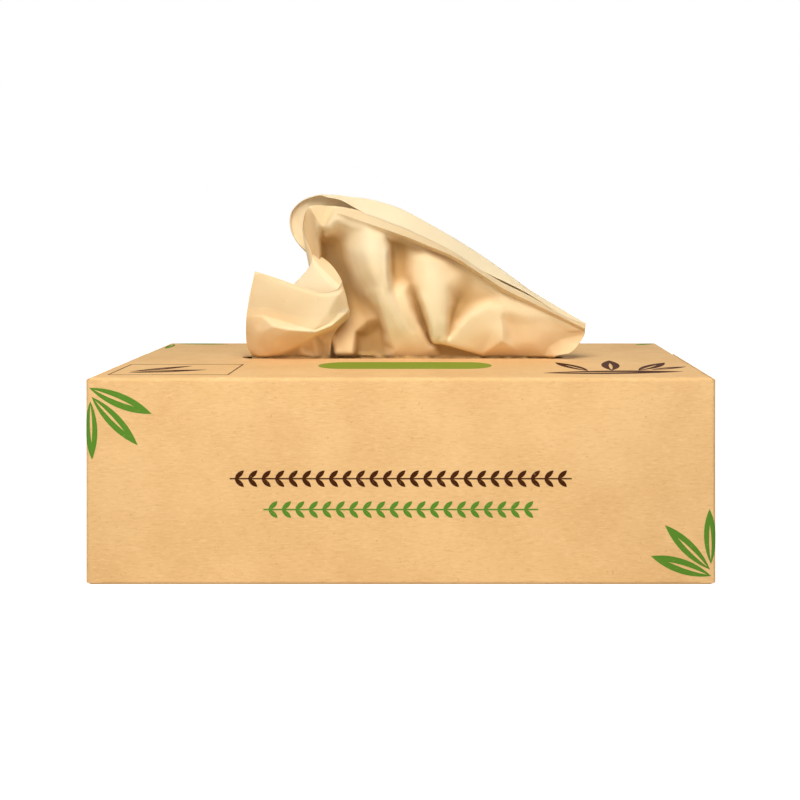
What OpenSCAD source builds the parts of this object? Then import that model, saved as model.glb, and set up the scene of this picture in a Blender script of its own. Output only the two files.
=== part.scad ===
// Facial tissue box of folded kraft board, with one tissue drawn up through the slot in its top.
// Millimetres. Z is up, the origin is the middle of the underside, -Y is the printed front.

/* [Carton] */
// Length of the closed carton from end to end
carton_length = 225; // [205:5:245]
// Depth of the carton from front to back
carton_depth = 115; // [108:1:125]
// Height of the carton
carton_height = 74; // [66:1:84]
// Thickness of the board
board = 0.5; // [0.4:0.05:0.6]
// Outer radius of every fold of the board
fold_radius = 1.5; // [1.3:0.1:2]
// Length of each outer end flap from the fold at the front
outer_flap_length = 78; // [62:1:90]
// Length of each inner end flap from the fold at the back
inner_flap_length = 70; // [50:1:90]
// Distance of the end flaps from the top and the bottom of the carton
flap_gap = 0.8; // [0.5:0.1:1.5]
// Length of each dust flap from its fold at the top or the bottom
dust_flap_length = 30; // [20:1:31]
// Width of the glue flap inside the back panel
glue_flap_width = 15; // [10:1:20]
// Distance of the back panel's cut edge below the top
seam_drop = 2.2; // [2.1:0.1:4]

/* [Slot] */
// Length of the torn slot in the top panel
slot_length = 132; // [131:1:150]
// Width of the torn slot
slot_width = 11; // [11:0.5:14]
// Distance of the slot's middle from the carton's middle, to the right
slot_shift_x = -2; // [-3:0.5:-1]
// Distance of the slot's middle from the carton's middle, to the back
slot_shift_y = 4; // [3.5:0.1:4.2]
// Distance between two torn board bridges along the slot
bridge_pitch = 3.6; // [3:0.1:6]
// Width of a torn board bridge
bridge_width = 0.8; // [0.5:0.1:1.2]
// Length of a torn board bridge
bridge_length = 0.5; // [0.3:0.1:0.8]

/* [Tissues] */
// Space between the folded tissues and each end of the carton
stack_end_gap = 7; // [3:0.5:15]
// Space between the folded tissues and the front and the back of the carton
stack_side_gap = 5; // [2:0.5:8]
// Space over the pile of tissues
headspace = 7; // [6:0.5:20]
// Number of folded edges seen on each long side of the pile
stack_folds = 50; // [20:1:60]
// Depth of the groove between two folded edges
stack_groove = 0.5; // [0.2:0.1:0.8]
// Thickness of one tissue with its plies
sheet_thickness = 0.3; // [0.2:0.02:0.34]
// Thickness of each of the two leaves at the free edge
leaf_thickness = 0.2; // [0.14:0.02:0.24]
// Height of the small gathers where the tissue passes the slot
gather_depth = 0.35; // [0:0.05:0.45]
// Length of sheet taken up by one small gather
gather_pitch = 8.3; // [7:0.1:12]
// Steps along the sheet
sheet_steps = 88; // [70:1:88]

/* [Print] */
// Thickness of an ink field
ink = 0.05; // [0.03:0.01:0.08]
// Length of the pale green field on the top
field_length = 67; // [50:1:80]
// Width of the pale green field on the top
field_width = 20; // [14:1:20]
// Distance of the pale green field's middle behind the front edge
field_inset = 34; // [28:1:36]
// Length of the brown leaf row on the front
row_length = 122; // [80:1:140]
// Height of the brown leaf row above the base
row_height = 38; // [34:1:46]
// Length of the green leaf row on the front
second_row_length = 98; // [70:1:120]
// Height of the green leaf row above the base
second_row_height = 27; // [20:1:28]

/* [Hidden] */
$fn = 64;
half_length = carton_length / 2;
half_depth = carton_depth / 2;
inner_radius = fold_radius - board;
stack_length = carton_length - 6 * board - 2 * stack_end_gap;
stack_depth = carton_depth - 2 * board - 2 * stack_side_gap;
stack_height = carton_height - 2 * board - headspace;
stack_top = board + stack_height;
slot_straight = slot_length - slot_width;
bridge_count = floor((slot_straight - bridge_pitch) / bridge_pitch);
bridge_slope = 0.15;
wrap_reach = 6;
far = 400;
kraft = [0.93, 0.76, 0.55];
tissue_colour = [0.97, 0.87, 0.74];
leaf_green = [0.38, 0.55, 0.18];
field_green = [0.62, 0.68, 0.22];
dark_brown = [0.27, 0.15, 0.05];

// flat shape with rounded corners, from corner (a0, b0) to corner (a1, b1)
module rounded(a0, b0, a1, b1, r) {
    translate([a0 + r, b0])
        square([a1 - a0 - 2 * r, b1 - b0]);
    translate([a0, b0 + r])
        square([a1 - a0, b1 - b0 - 2 * r]);
    for (a = [a0 + r, a1 - r], b = [b0 + r, b1 - r])
        translate([a, b])
            circle(r = r);
}

// an outline in Y and Z, drawn out along X
module along_x(length) {
    rotate([90, 0, 90])
        linear_extrude(height = length, center = true)
            children();
}

// an outline in X and Z, drawn out along Y
module along_y(length) {
    rotate([90, 0, 0])
        linear_extrude(height = length, center = true)
            children();
}

// outer outline of the tube of panels: the top panel's fold at the back sits inside the back panel
module tube_outline() {
    intersection() {
        rounded(-half_depth, 0, half_depth, carton_height, fold_radius);
        translate([-half_depth, 0])
            square([carton_depth, carton_height - seam_drop]);
    }
    rounded(-half_depth, 0, half_depth - board, carton_height, fold_radius);
}

// outline of the hollow of the tube, less the glue flap
module hollow_outline() {
    intersection() {
        rounded(-half_depth + board, board, half_depth - board, carton_height - board, inner_radius);
        translate([-half_depth, 0])
            square([carton_depth, carton_height - board - glue_flap_width]);
    }
    rounded(-half_depth + board, board, half_depth - 2 * board, carton_height - board, inner_radius);
}

// closed body of panels and dust flaps
module body() {
    intersection() {
        along_x(carton_length - 4 * board)
            tube_outline();
        along_y(carton_depth)
            rounded(-half_length + 2 * board, 0, half_length - 2 * board, carton_height, fold_radius);
        linear_extrude(height = carton_height)
            rounded(-half_length + board, -half_depth, half_length - board, half_depth, fold_radius);
    }
}

// hollow between the dust flaps of the two ends
module hollow() {
    intersection() {
        along_x(carton_length - 6 * board)
            hollow_outline();
        along_y(carton_depth)
            rounded(-half_length + 3 * board, board, half_length - 3 * board, carton_height - board,
                inner_radius);
    }
}

// outer end flaps with their folds: they come round each end from the front panel
module outer_flaps() {
    translate([0, 0, flap_gap])
        linear_extrude(height = carton_height - 2 * flap_gap)
            difference() {
                rounded(-half_length, -half_depth, half_length, half_depth, fold_radius);
                rounded(-half_length + board, -half_depth + board, half_length - board, far, inner_radius);
                translate([-far, -half_depth + outer_flap_length])
                    square([2 * far, far]);
                translate([-half_length + wrap_reach, -far])
                    square([carton_length - 2 * wrap_reach, 2 * far]);
            }
}

// inner end flaps with their folds: they come round each end from the back panel
module inner_flaps() {
    translate([0, 0, flap_gap])
        linear_extrude(height = carton_height - seam_drop - flap_gap)
            difference() {
                rounded(-half_length + board, -half_depth, half_length - board, half_depth, fold_radius);
                rounded(-half_length + 2 * board, -far, half_length - 2 * board, half_depth - board,
                    inner_radius);
                translate([-far, half_depth - inner_flap_length - far])
                    square([2 * far, far]);
                translate([-half_length + wrap_reach, -far])
                    square([carton_length - 2 * wrap_reach, 2 * far]);
            }
}

// space left between the free ends of two dust flaps
module dust_flap_gaps() {
    for (side = [-1, 1])
        translate([side * (half_length - 2.5 * board), 0, carton_height / 2])
            cube([board, carton_depth - 4 * board, carton_height - 2 * dust_flap_length], center = true);
}

// points of one torn bridge that reaches from the edge towards the slot's middle
function bridge(x, edge, way) = [
    [x - way * bridge_width / 2, edge],
    [x - way * (bridge_width / 2 - bridge_slope), edge + way * bridge_length],
    [x + way * (bridge_width / 2 - bridge_slope), edge + way * bridge_length],
    [x + way * bridge_width / 2, edge]
];

// places of the bridges along the slot
bridge_places = [for (i = [0 : bridge_count]) (i - bridge_count / 2) * bridge_pitch];

// outline of the straight part of the slot, its torn bridges left standing
slot_points = concat(
    [[-slot_straight / 2, -slot_width / 2]],
    [for (i = [0 : bridge_count]) each bridge(bridge_places[i], -slot_width / 2, 1)],
    [[slot_straight / 2, -slot_width / 2], [slot_straight / 2, slot_width / 2]],
    [for (i = [0 : bridge_count]) each bridge(bridge_places[bridge_count - i], slot_width / 2, -1)],
    [[-slot_straight / 2, slot_width / 2]]
);

module slot() {
    translate([slot_shift_x, slot_shift_y, carton_height - 2 * board])
        linear_extrude(height = 3 * board) {
            polygon(slot_points);
            for (side = [-1, 1])
                translate([side * slot_straight / 2, 0])
                    circle(d = slot_width);
        }
}

module carton() {
    color(kraft)
        difference() {
            union() {
                difference() {
                    body();
                    hollow();
                    dust_flap_gaps();
                }
                outer_flaps();
                inner_flaps();
            }
            slot();
        }
}

// one long side of the pile: a groove between each two folded edges, which don't lie quite in line
edge_wander = 0.12;
edge_turn = 47;
function side_point(i) = [
    stack_depth / 2 - (i % 2 == 0 ? stack_groove : edge_wander * sin(i * edge_turn)),
    i * stack_height / (2 * stack_folds)
];
stack_right = [for (i = [0 : 2 * stack_folds]) side_point(i)];
stack_left = [for (i = [2 * stack_folds : -1 : 0]) [-side_point(i)[0], side_point(i)[1]]];

module tissue_stack() {
    color(tissue_colour)
        translate([0, 0, board])
            along_x(stack_length)
                polygon(concat(stack_right, stack_left));
}

// tissue drawn up: lines along the sheet, each place as
// [length along the sheet, x, y, height above the top panel]
rim_line = [
    [0, -61, -7, 35.6], [12, -52, -9, 33], [25, -41, -10, 29.2], [34, -33, -9.6, 27.2],
    [40, -27.5, -8, 28.2], [45, -26.4, -4, 31], [52, -29.6, 0.6, 36], [58, -33.6, 3, 39.8],
    [66, -39.4, 3, 44], [72, -41.2, -1, 49], [78, -41.6, -6.4, 56], [84, -39, -8, 61.6],
    [92, -32, -5.6, 62], [100, -25.5, -4.4, 61.4], [106, -20, -4, 60.2], [114, -12.5, -4.4, 57.4],
    [127, -0.5, -4.4, 53], [137, 8.4, -4.4, 49], [148, 19, -4.4, 43.6], [161, 30, -4.6, 36.2],
    [172, 38.5, -4.4, 31], [184, 49.5, -4, 25.6], [197, 61, -4, 19], [206, 69, -4, 15.4],
    [210, 72.2, -4, 14]
];
far_ridge_line = [
    [0, -61, -6, 35.4], [12, -52, -8, 32.8], [25, -41, -9, 29], [34, -33.2, -8.4, 27.2],
    [40, -27.8, -7, 28.4], [45, -27.2, -2.8, 31.2], [52, -30.8, 2.2, 36], [58, -35.4, 5, 39.6],
    [66, -43.6, 6, 44.4], [72, -48.2, 5.6, 51.4], [78, -48.4, 5, 58.8], [84, -44, 4, 64],
    [92, -37, 3.4, 66.7], [97, -32, 3.8, 66.9], [106, -24, 4, 66.4], [114, -15.6, 4, 65.5],
    [127, -3, 4, 61.6], [137, 10, 4, 54.6], [148, 20.6, 3.4, 48.4], [161, 31, 2.4, 41.8],
    [172, 40, 1, 35.3], [184, 50, -0.6, 28], [197, 61, -2.4, 21.3],
    [206, 69, -3.4, 16.4], [210, 72.3, -3.6, 14.6]
];
far_rim_line = [
    [0, -61, -6.4, 35.6], [12, -52, -8.4, 33], [25, -41, -9.4, 29.2], [34, -33, -8.8, 27.4],
    [40, -27.6, -7.4, 28.6], [45, -26.8, -3.2, 31.4], [52, -30.2, 1.6, 36.4], [58, -34.6, 4.2, 40.2],
    [66, -43, 4.6, 44.6], [72, -47.6, 4, 51], [78, -48, 3, 59], [84, -43.4, 2, 64],
    [92, -36.2, 0.6, 66.4], [97, -32.2, -1, 65.5], [102, -27, -3, 64.4], [108, -20.6, -4.4, 61],
    [113, -16, -5, 58.2], [127, -2.4, -5.2, 53.2], [137, 8.4, -5.2, 48.7], [148, 19, -5.2, 43.3],
    [161, 30, -5.4, 36], [168, 35.6, -5, 33.2], [176, 42.4, -4.6, 30.4], [184, 49.5, -4, 27],
    [197, 61, -3.8, 19.8], [206, 69, -3.9, 15.6], [210, 72.2, -3.9, 14.2]
];
crease_line = [
    [0, -63, -8, 26], [12, -54, -10.4, 25], [25, -42, -12, 22], [34, -31, -11.4, 21],
    [40, -25.4, -8.4, 22], [45, -24.4, -5.4, 24.6], [52, -30.6, -4.4, 29], [60, -36.6, -1.6, 34],
    [66, -39.2, 0.6, 38.2], [72, -39.4, 1.4, 41], [78, -42.2, -2.4, 49.6], [84, -38.8, -8.4, 60.4],
    [88, -36, -8, 56.6], [91, -33.4, -7.6, 53.6], [94, -31, -8.6, 56.6], [97, -28.4, -9.6, 59],
    [106, -20, -10, 56.5], [114, -12.6, -10, 54], [127, -0.5, -9.6, 49.8], [137, 8.4, -9.4, 46.2],
    [148, 19, -9, 41.6], [161, 30, -8.4, 34.6], [172, 38.5, -8, 29], [184, 49.5, -7, 23.6],
    [197, 61, -6, 18], [206, 68.6, -5.4, 14.2], [210, 71.8, -5, 12.6]
];
middle_line = [
    [0, -64.5, -7, 16], [12, -56, -9, 17], [25, -42, -11, 13], [34, -30, -9, 16],
    [40, -24, -5.4, 17], [45, -25.4, -1.6, 18], [52, -38, -1, 19], [60, -50, 0.8, 22],
    [66, -50.6, 4.6, 24], [72, -43, 8.6, 25], [78, -38.6, 10.4, 25], [84, -37, 11, 24], [90, -33, 7, 24],
    [97, -26, 3, 24], [103, -21, -3, 24], [108, -16.5, -6, 25], [113, -12, -10.6, 26],
    [118, -8, -10.6, 26.4], [122, -5, -5, 27], [127, -1, -6, 27], [131, 3, -2.6, 27],
    [135, 6.4, -8, 27], [140, 11, -10, 26.4], [146, 15.6, -7.4, 25],
    [150, 19.4, -1.6, 24], [156, 24, -2.4, 23], [162, 29, -4, 21.4],
    [168, 34.6, -6.4, 19.4], [176, 41, -6.4, 16.5], [186, 49, -5.6, 13], [197, 59.6, -5, 11],
    [206, 67.6, -4.4, 9.6], [210, 71.4, -3.4, 9.2]
];
low_line = [
    [0, -65, -3, 6], [12, -58, -4, 7], [25, -47, -5, 6], [34, -38, -4, 8],
    [40, -31, -3, 10], [45, -31, 1, 9], [52, -37, 4, 9], [60, -43, 7, 9],
    [66, -45, 9, 9], [72, -43, 10, 9], [78, -39, 9, 9], [84, -34.5, 3, 9], [90, -29, -0.6, 9],
    [97, -23.4, -1, 9], [101, -20.4, 4.6, 9], [107, -16, 5, 9], [112, -11.4, 2, 9], [117, -7, -3.6, 9],
    [123, -2.4, -4.8, 9], [129, 3, -4, 9], [134, 7.6, 1.4, 9], [138, 11, -6, 8.6],
    [143, 14.6, -6.6, 8.4], [147, 17.6, -3, 8.2], [152, 21.4, -5, 8], [160, 28, -5.6, 8],
    [168, 34, -6.2, 7.6], [176, 40, -4.4, 6.8], [186, 47, -4, 5.6],
    [197, 55, -3.4, 4.2], [206, 62.4, -2.8, 3.2],
    [210, 65.6, -2, 2.8]
];
slot_line = [
    [0, -63.5, 0.8, 0], [12, -57, 0.5, 0], [25, -46, 0.6, 0], [34, -38, 0.8, 0],
    [40, -33, 1.4, 0], [45, -32, 3, 0], [52, -36, 4.4, 0], [60, -42, 5.4, 0],
    [66, -45, 6.2, 0], [72, -43, 6.8, 0], [78, -38, 7, 0], [84, -33, 6, 0],
    [90, -29, 4.6, 0], [97, -24, 5.4, 0], [103, -20, 6.8, 0], [109, -16, 6.4, 0],
    [114, -12, 3.6, 0], [120, -7, 1.2, 0], [127, -2, 0.8, 0], [134, 3, 0.8, 0],
    [141, 9, 1.4, 0], [147, 14, 2, 0], [153, 19, 1.4, 0], [160, 25, 0.6, 0],
    [170, 33, 0.5, 0], [180, 41, 0.5, 0], [190, 48, 0.5, 0], [200, 55, 0.8, 0],
    [206, 58.4, 1.2, 0], [210, 60, 1.8, 0]
];

sheet_width = rim_line[len(rim_line) - 1][0];
foot_spread = 0.96;
neck_left = -62;
neck_right = 60;

// smooth curve through the places of a line, read at length u along the sheet
function span_of(line, u, i = 0) = (i >= len(line) - 2 || u < line[i + 1][0]) ? i : span_of(line, u, i + 1);
function slope_at(line, i) =
    let (a = line[max(i - 1, 0)], b = line[min(i + 1, len(line) - 1)])
    (b - a) / (b[0] - a[0]);
function smooth(p, q, m, n, h, s) =
    (2 * s * s * s - 3 * s * s + 1) * p + (s * s * s - 2 * s * s + s) * h * m
    + (3 * s * s - 2 * s * s * s) * q + (s * s * s - s * s) * h * n;
function read_line(line, u) =
    let (i = span_of(line, u), h = line[i + 1][0] - line[i][0], s = (u - line[i][0]) / h)
    let (place = smooth(line[i], line[i + 1], slope_at(line, i), slope_at(line, i + 1), h, s))
    [place[1], place[2], place[3]];

// small gathers, strongest at the slot and gone towards the middle of the sheet
// a second, shorter row of them keeps them uneven
second_pitch = 0.61;
second_depth = 0.6;
second_turn = 75;
function gather(u, strength) =
    let (turn = 360 * u / gather_pitch)
    let (wave = sin(turn) + second_depth * sin(turn / second_pitch + second_turn))
    [0, strength * gather_depth * wave, 0];

// heights over the top panel where the sheet enters the slot from below and where it is clear of it
slot_entry = -2.5 * board;
slot_exit = 1.2;

// lower part in the box: it lies on the pile, folds at the back and comes forward to the slot
// each row as [distance in front of the fold at the back, height in sheet thicknesses, share gathered]
foot_fold_inset = 3.6;
foot_fold = stack_depth / 2 - foot_fold_inset;
foot_rows = [
    [74, 0.5, 0], [38, 0.5, 0], [4, 0.5, 0], [0.8, 0.6, 0], [0, 1.3, 0],
    [0.8, 2, 0], [4, 2.05, 0], [16, 2.1, 0.08], [28, 2.3, 0.32], [40.5, 3.4, 0.68]
];
rise_start = foot_rows[len(foot_rows) - 1][0];
function foot_place(u, row) =
    let (flat_x = (u - sheet_width / 2) * foot_spread)
    let (even_x = neck_left + (neck_right - neck_left) * u / sheet_width)
    [
        flat_x * (1 - row[2]) + even_x * row[2],
        foot_fold - row[0],
        stack_top + row[1] * sheet_thickness
    ];

// rows between the pile and the slot
rise_rows = [[0.35, 0.3], [0.75, 0.62]];
function rise_place(u, row) =
    let (in_slot = read_line(slot_line, u), even_x = neck_left + (neck_right - neck_left) * u / sheet_width)
    let (low = foot_place(u, foot_rows[len(foot_rows) - 1])[2], high = carton_height + slot_entry)
    [
        even_x * (1 - row[0]) + in_slot[0] * row[0],
        (foot_fold - rise_start) * (1 - row[0]) + in_slot[1] * row[0],
        low + (high - low) * row[1]
    ] + gather(u, row[0]);

// rows above the slot: heights of the guide lines along the sheet, and steps between them
guide_rise = [0, 3.2, 11, 31, 51, 60];
function guide_places(u) =
    let (in_slot = read_line(slot_line, u))
    [
        concat([guide_rise[0]], [in_slot[0], in_slot[1], slot_entry] + gather(u, 1)),
        concat([guide_rise[1]], [in_slot[0], in_slot[1], slot_exit] + gather(u, 1)),
        concat([guide_rise[2]], read_line(low_line, u) + gather(u, 0.8)),
        concat([guide_rise[3]], read_line(middle_line, u)),
        concat([guide_rise[4]], read_line(crease_line, u)),
        concat([guide_rise[5]], read_line(rim_line, u))
    ];
upper_steps = [0, 1.6, 3.2, 5.2, 8, 11, 16, 21, 26, 31, 36, 40.5, 44.5, 48, 51, 60];
crotch = 11;

// from the middle of the sheet on, the strip along the free edge is creased over
// between these lengths along the sheet the rounded strip turns into the creased one
crease_start = 80;
crease_full = 86;
crease_rise = guide_rise[4];
function strip(guides, rise) =
    rise <= crease_rise
        ? read_line([for (k = [0 : 4]) guides[k]], rise)
        : let (share = (rise - crease_rise) / (guide_rise[5] - crease_rise))
            [for (k = [1 : 3]) guides[4][k] * (1 - share) + guides[5][k] * share];
function upper_place(u, guides, rise) =
    let (creased = min(1, max(0, (u - crease_start) / (crease_full - crease_start))))
    let (place = read_line(guides, rise) * (1 - creased) + strip(guides, rise) * creased)
    [place[0], place[1], place[2] + carton_height];

// second leaf: up behind the first one to its ridge, bowed to the back, and forward to its free edge
leaf_shares = [0.34, 0.7, 1];
front_shares = [0.5, 1];
leaf_bow = 2.5;
full_bow_apart = 8;
function leaf_place(u, from, towards, share) =
    let (ridge = read_line(far_ridge_line, u) + [0, 0, carton_height])
    let (behind = leaf_bow * sin(180 * share) * min(1, norm(ridge - towards) / full_bow_apart))
    from * (1 - share) + ridge * share + [0, behind, 0];
function front_place(u, share) =
    read_line(far_ridge_line, u) * (1 - share) + read_line(far_rim_line, u) * share + [0, 0, carton_height];

// places of the sections along the sheet, closer together from the panel's start on
panel_start = 86;
flap_steps = round(0.35 * sheet_steps);
stations = [for (i = [0 : sheet_steps])
    i <= flap_steps
        ? panel_start * i / flap_steps
        : panel_start + (sheet_width - panel_start) * (i - flap_steps) / (sheet_steps - flap_steps)];
upper_grid = [for (u = stations) let (guides = guide_places(u))
    [for (rise = upper_steps) upper_place(u, guides, rise)]];
main_grid = [for (i = [0 : sheet_steps]) concat(
    [for (row = foot_rows) foot_place(stations[i], row)],
    [for (row = rise_rows) rise_place(stations[i], row)],
    upper_grid[i]
)];
rows = len(main_grid[0]);
crotch_row = len(foot_rows) + len(rise_rows) + crotch;
leaf_grid = [for (i = [0 : sheet_steps]) concat(
    [main_grid[i][crotch_row]],
    [for (share = leaf_shares)
        leaf_place(stations[i], main_grid[i][crotch_row], main_grid[i][rows - 1], share)],
    [for (share = front_shares) front_place(stations[i], share)]
)];
leaf_count = len(leaf_shares) + len(front_shares);

// direction square to the sheet at place (i, j) of a grid, towards the front
function unit(v) = v / max(norm(v), 1e-6);
function square_to(grid, i, j) =
    let (a = grid[min(i + 1, sheet_steps)][j] - grid[max(i - 1, 0)][j])
    let (b = grid[i][min(j + 1, len(grid[0]) - 1)] - grid[i][max(j - 1, 0)])
    unit(cross(a, b));
function offset_place(grid, i, j, d) = grid[i][j] + d * square_to(grid, i, j);

// closed loop of places round the section at station i
half_sheet = sheet_thickness / 2;
half_leaf = leaf_thickness / 2;
function near_half(j) = j <= crotch_row ? half_sheet : half_leaf;
function section(i) = concat(
    [for (j = [0 : rows - 1]) offset_place(main_grid, i, j, near_half(j))],
    [for (j = [rows - 1 : -1 : crotch_row + 1]) offset_place(main_grid, i, j, -near_half(j))],
    [main_grid[i][crotch_row] - 0.2 * half_sheet * square_to(main_grid, i, crotch_row)],
    [for (j = [1 : leaf_count]) offset_place(leaf_grid, i, j, half_leaf)],
    [for (j = [leaf_count : -1 : 1]) offset_place(leaf_grid, i, j, -half_leaf)],
    [for (j = [crotch_row : -1 : 0]) offset_place(main_grid, i, j, -half_sheet)]
);

sections = [for (i = [0 : sheet_steps]) section(i)];
ring = len(sections[0]);
crotch_point = rows + (rows - 1 - crotch_row);

// side faces between two neighbouring stations, parted the same way on the front and back of a layer
function runs_down(k) = (k >= rows - 1 && k < crotch_point) || k >= crotch_point + leaf_count;
function pair_of_faces(a, b, down) = down
    ? [[a, b, a + ring], [b, b + ring, a + ring]]
    : [[a, b, b + ring], [a, b + ring, a + ring]];
side_faces = [for (i = [0 : sheet_steps - 1], k = [0 : ring - 1])
    each pair_of_faces(i * ring + k, i * ring + (k + 1) % ring, runs_down(k))];

// one end of the sheet: pairs of places joined across the thickness
function across(front, back) = [
    [front, front + 1, back - 1],
    [front, back - 1, back]
];
far_start = crotch_point + 1;
end_pairs = concat(
    [for (j = [0 : crotch_row - 1]) [j, ring - 1 - j]],
    [for (j = [crotch_row + 1 : rows - 2]) [j, 2 * rows - 1 - j]],
    [for (j = [0 : leaf_count - 2]) [far_start + j, far_start + 2 * leaf_count - 1 - j]]
);
join_faces = [
    [crotch_row, crotch_row + 1, crotch_point - 1],
    [crotch_row, crotch_point - 1, crotch_point],
    [crotch_row, crotch_point, ring - 1 - crotch_row],
    [crotch_point, far_start, ring - 1 - crotch_row],
    [far_start, far_start + 2 * leaf_count - 1, ring - 1 - crotch_row]
];
cap_faces = concat([for (pair = end_pairs) each across(pair[0], pair[1])], join_faces);
start_faces = [for (face = cap_faces) [face[2], face[1], face[0]]];
last = sheet_steps * ring;
end_faces = [for (face = cap_faces) [face[0] + last, face[1] + last, face[2] + last]];

module pulled_tissue() {
    color(tissue_colour)
        polyhedron(
            points = [for (one = sections) each one],
            faces = concat(side_faces, start_faces, end_faces)
        );
}

// pointed leaf along X: two arcs that meet at both ends
module lens(length, width) {
    radius = (length * length + width * width) / (4 * width);
    intersection() {
        translate([length / 2, radius - width / 2])
            circle(r = radius);
        translate([length / 2, width / 2 - radius])
            circle(r = radius);
    }
}

// leaf from its base to its tip, with a bare slit along the middle
slit_start = 0.06;
slit_share = 0.66;
slit_width = 0.2;
module leaf(base, tip, width) {
    way = tip - base;
    translate(base)
        rotate(atan2(way[1], way[0]))
            difference() {
                lens(norm(way), width);
                translate([norm(way) * slit_start, 0])
                    lens(norm(way) * slit_share, width * slit_width);
            }
}

// leaves as [base, tip, width], measured from a corner of a panel
upper_sprig = [
    [[1.4, -3.6], [23.7, -12.9], 5.2], [[2.2, -6.8], [18.7, -24.1], 4.8], [[1.8, -8.4], [2.4, -29.2], 4.4]
];
lower_sprig = [
    [[-1.8, 3.3], [-23.3, 10.4], 5.2], [[-2.2, 5.6], [-18.3, 21.5], 4.8], [[-1.9, 7.6], [-2.4, 27.2], 4.4]
];
top_left_sprig = [[[5, -4], [29, -5.6], 3.6], [[4.6, -6], [4.8, -23], 3.2]];
top_right_sprig = [[[-3.4, -4], [-12, -8.5], 3.4]];
brown_sprig = [
    [[52, -45], [104, -41], 9], [[69, -39], [59, -14], 6], [[78, -38], [81, -8], 7],
    [[88, -38], [102, -15], 6], [[93, -36], [108, -27], 4]
];
frame_corner = [-107, -50];
frame_size = [44, 30];
frame_line = 0.5;
frame_sprig = [[[-101, -44], [-74, -36], 5], [[-101, -41], [-82, -25], 4.6]];

module sprig(leaves, corner) {
    for (one = leaves)
        leaf(one[0] + corner, one[1] + corner, one[2]);
}

// ink on the front, carried round upright folds that lie at x = -edge and x = edge
module front_ink(edge) {
    intersection() {
        translate([0, -half_depth + fold_radius, 0])
            rotate([90, 0, 0])
                linear_extrude(height = 2 * fold_radius)
                    children();
        difference() {
            linear_extrude(height = carton_height - fold_radius)
                rounded(-edge - ink, -half_depth - ink, edge + ink, half_depth + ink, fold_radius + ink);
            linear_extrude(height = carton_height)
                rounded(-edge, -half_depth, edge, half_depth, fold_radius);
        }
    }
}

// ink on the flat top
module top_ink() {
    translate([0, 0, carton_height])
        linear_extrude(height = ink)
            children();
}

// row of small paired leaves along a stem
pair_pitch = 4.8;
pair_leaf = [4.4, 1.7];
pair_angle = 42;
pair_start = 0.8;
stem_width = 0.5;
module leaf_row(length, height) {
    pairs = floor(length / pair_pitch);
    translate([-length / 2, height - stem_width / 2])
        square([length, stem_width]);
    for (i = [0 : pairs - 1], side = [-1, 1])
        translate([(i - pairs / 2) * pair_pitch + pair_start, height])
            rotate(side * pair_angle)
                lens(pair_leaf[0], pair_leaf[1]);
}

module leaf_print() {
    color(leaf_green) {
        for (side = [[0, half_length], [180, half_length - board]])
            rotate([0, 0, side[0]])
                front_ink(side[1]) {
                    sprig(upper_sprig, [-side[1], carton_height]);
                    sprig(lower_sprig, [side[1], 0]);
                }
        translate([0, -half_depth, 0])
            rotate([90, 0, 0])
                linear_extrude(height = ink)
                    leaf_row(second_row_length, second_row_height);
        top_ink() {
            sprig(top_left_sprig, [-half_length, half_depth]);
            sprig(top_right_sprig, [half_length, half_depth]);
        }
    }
}

module label_print() {
    color(field_green)
        top_ink()
            translate([-field_length / 2, -half_depth + field_inset - field_width / 2])
                rounded(0, 0, field_length, field_width, field_width / 2 - ink);
}

module brown_print() {
    color(dark_brown) {
        translate([0, -half_depth, 0])
            rotate([90, 0, 0])
                linear_extrude(height = ink)
                    leaf_row(row_length, row_height);
        top_ink() {
            sprig(brown_sprig, [0, 0]);
            sprig(frame_sprig, [0, 0]);
            difference() {
                translate(frame_corner)
                    square(frame_size);
                translate(frame_corner + [frame_line, frame_line])
                    square(frame_size - 2 * [frame_line, frame_line]);
            }
        }
    }
}

carton();
tissue_stack();
pulled_tissue();
leaf_print();
label_print();
brown_print();
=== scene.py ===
# %% [markdown]
# # A tissue box with one tissue drawn up
# The real object is a flat carton of kraft board with a torn slot in its top. One soft tissue stands
# up out of the slot in loose folds, and the other tissues lie in the box. The carton, the pile and the
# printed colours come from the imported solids, so this lesson gives them finishes. The drawn tissue is
# made anew as a fine sheet.

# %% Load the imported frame
import math

import bpy
import numpy as np
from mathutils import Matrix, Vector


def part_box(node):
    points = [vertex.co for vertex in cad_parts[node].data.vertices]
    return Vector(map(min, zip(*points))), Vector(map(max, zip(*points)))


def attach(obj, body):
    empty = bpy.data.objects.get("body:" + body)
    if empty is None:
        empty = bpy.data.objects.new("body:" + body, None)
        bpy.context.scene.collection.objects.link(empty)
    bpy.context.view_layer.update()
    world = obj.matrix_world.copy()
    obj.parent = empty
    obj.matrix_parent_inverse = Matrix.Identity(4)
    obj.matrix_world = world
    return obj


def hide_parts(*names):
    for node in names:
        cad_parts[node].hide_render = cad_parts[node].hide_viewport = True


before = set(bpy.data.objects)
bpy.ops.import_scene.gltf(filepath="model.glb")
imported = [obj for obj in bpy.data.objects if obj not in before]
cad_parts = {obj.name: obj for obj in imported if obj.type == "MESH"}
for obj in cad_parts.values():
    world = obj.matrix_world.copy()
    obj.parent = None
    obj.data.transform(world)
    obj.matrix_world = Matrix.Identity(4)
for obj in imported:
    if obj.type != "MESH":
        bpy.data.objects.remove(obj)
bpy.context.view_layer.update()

MM = 0.001
carton_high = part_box("carton")[1]
stack_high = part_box("tissue_stack")[1]
top_panel = carton_high[2] / MM
stack_top = stack_high[2] / MM
print("top panel at", round(top_panel, 2), "mm, pile up to", round(stack_top, 2), "mm")

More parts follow.
